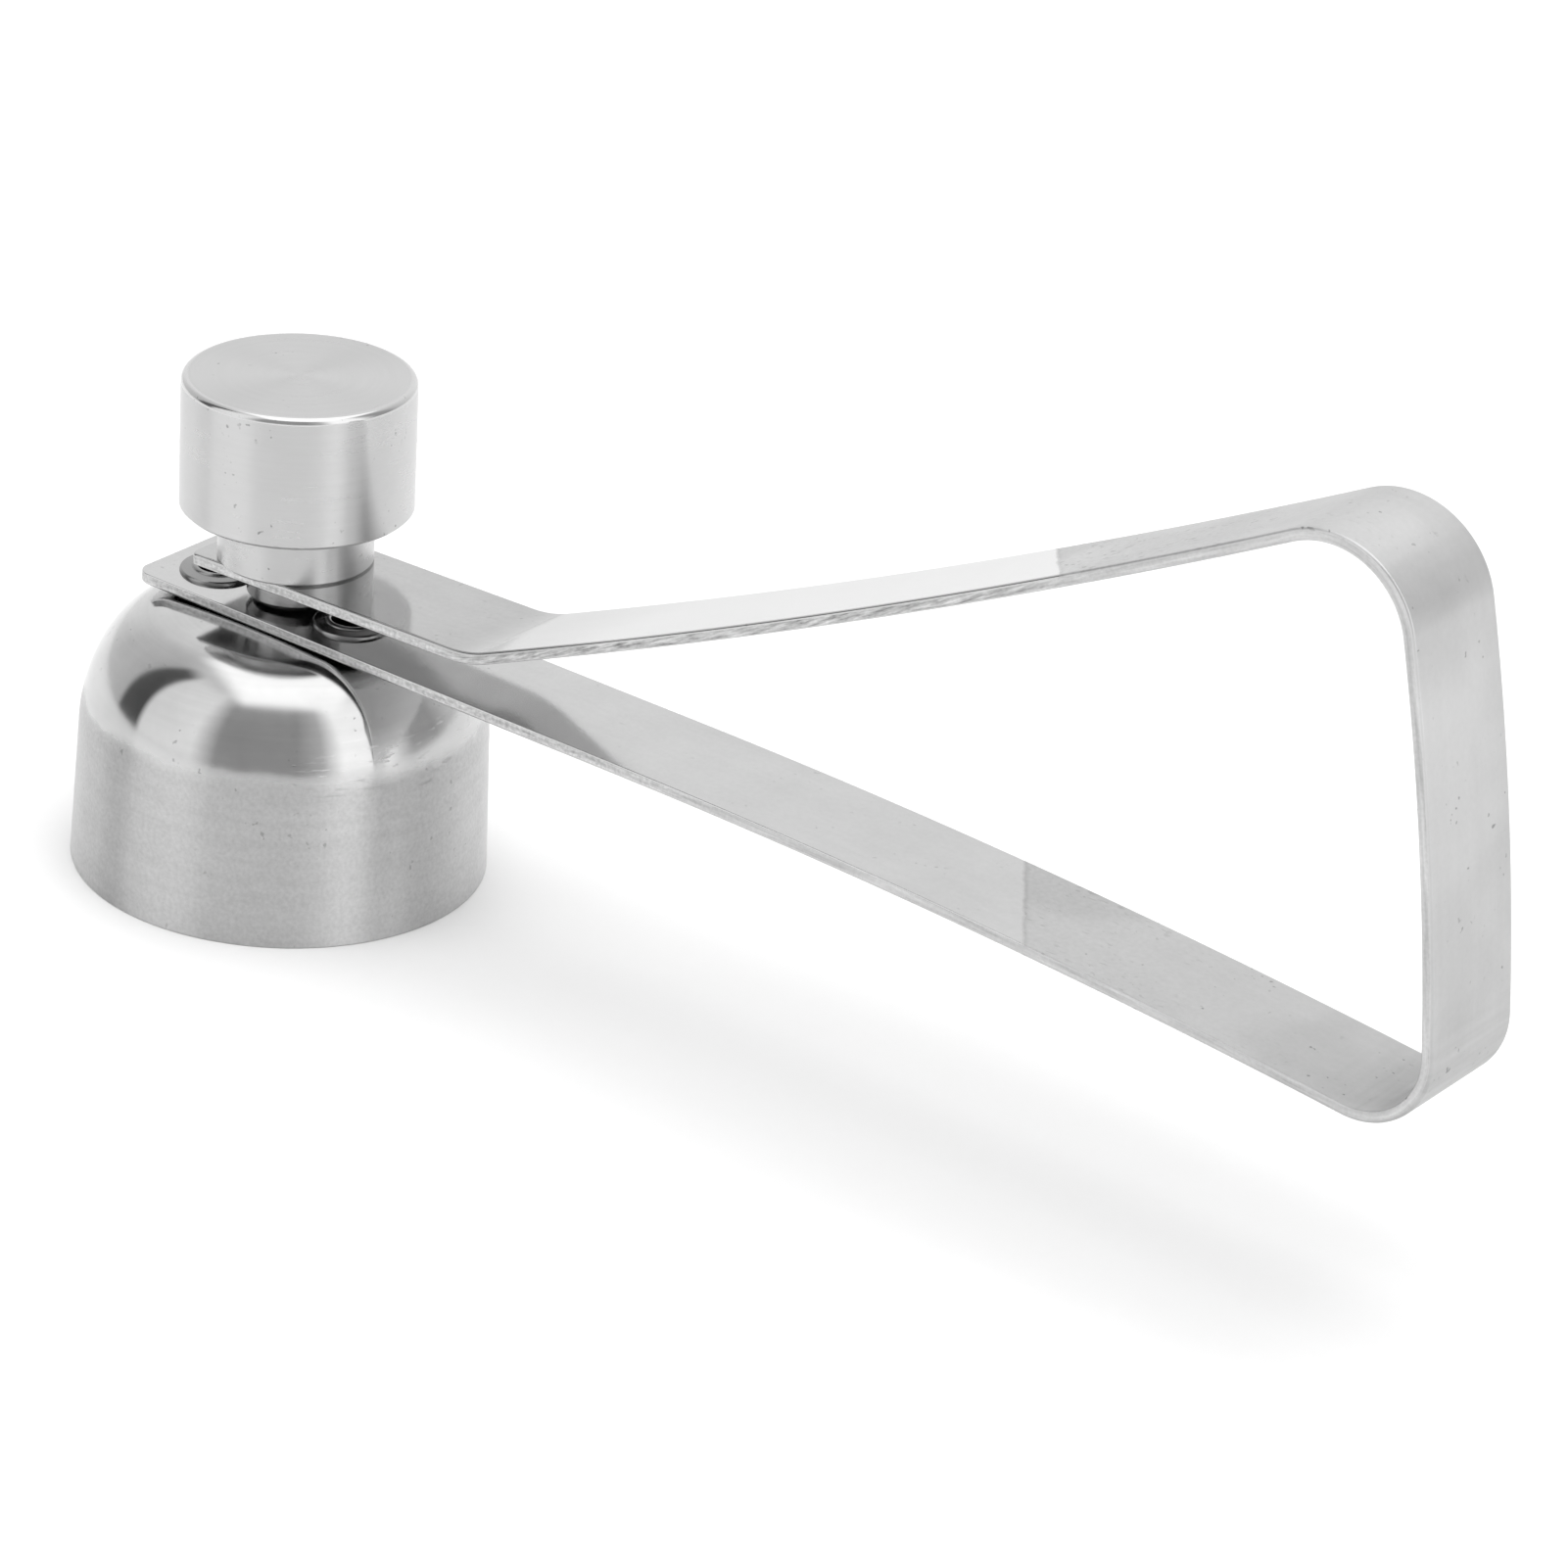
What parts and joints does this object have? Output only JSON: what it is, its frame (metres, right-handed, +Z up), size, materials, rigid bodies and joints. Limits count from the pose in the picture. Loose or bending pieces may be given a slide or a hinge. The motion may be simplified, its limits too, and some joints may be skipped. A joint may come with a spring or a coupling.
{
  "type": "egg topper",
  "caption": "Hand-held egg topper: a small bell under a looped spring strip whose free end lifts and drops a turned striker weight over the bell's crown.",
  "frame": {"origin": "on the bell's axis, in the plane of its rim, where the part stands on a table", "axes": "+Z up along the bell's axis, +X from the bell along the handle, the strip's middle plane at Y = 0"},
  "size_m": [0.136, 0.036, 0.0661],
  "materials": {
    "bell_steel": "satin wall below a mirror polished dome",
    "strip_steel": "polished faces with rough ground edges",
    "rivet_steel": "drawn, semi-bright",
    "striker_steel": "fine turned"
  },
  "bodies": {
    "base": {"bell": "bell_steel", "strip_lower": "strip_steel", "tubular_rivets": "rivet_steel"},
    "striker": {"strip_upper": "strip_steel", "striker_weight": "striker_steel", "striker_screw": "striker_steel"}
  },
  "joints": [
    {"name": "striker_lift", "type": "hinge", "parent": "base", "child": "striker", "pos_m": [0.11502, 0, 0.0437], "axis": [0, 1, 0], "range_deg": [0, 10], "stiffness_Nm_per_rad": 2.5, "springref_deg": -2.86}
  ]
}
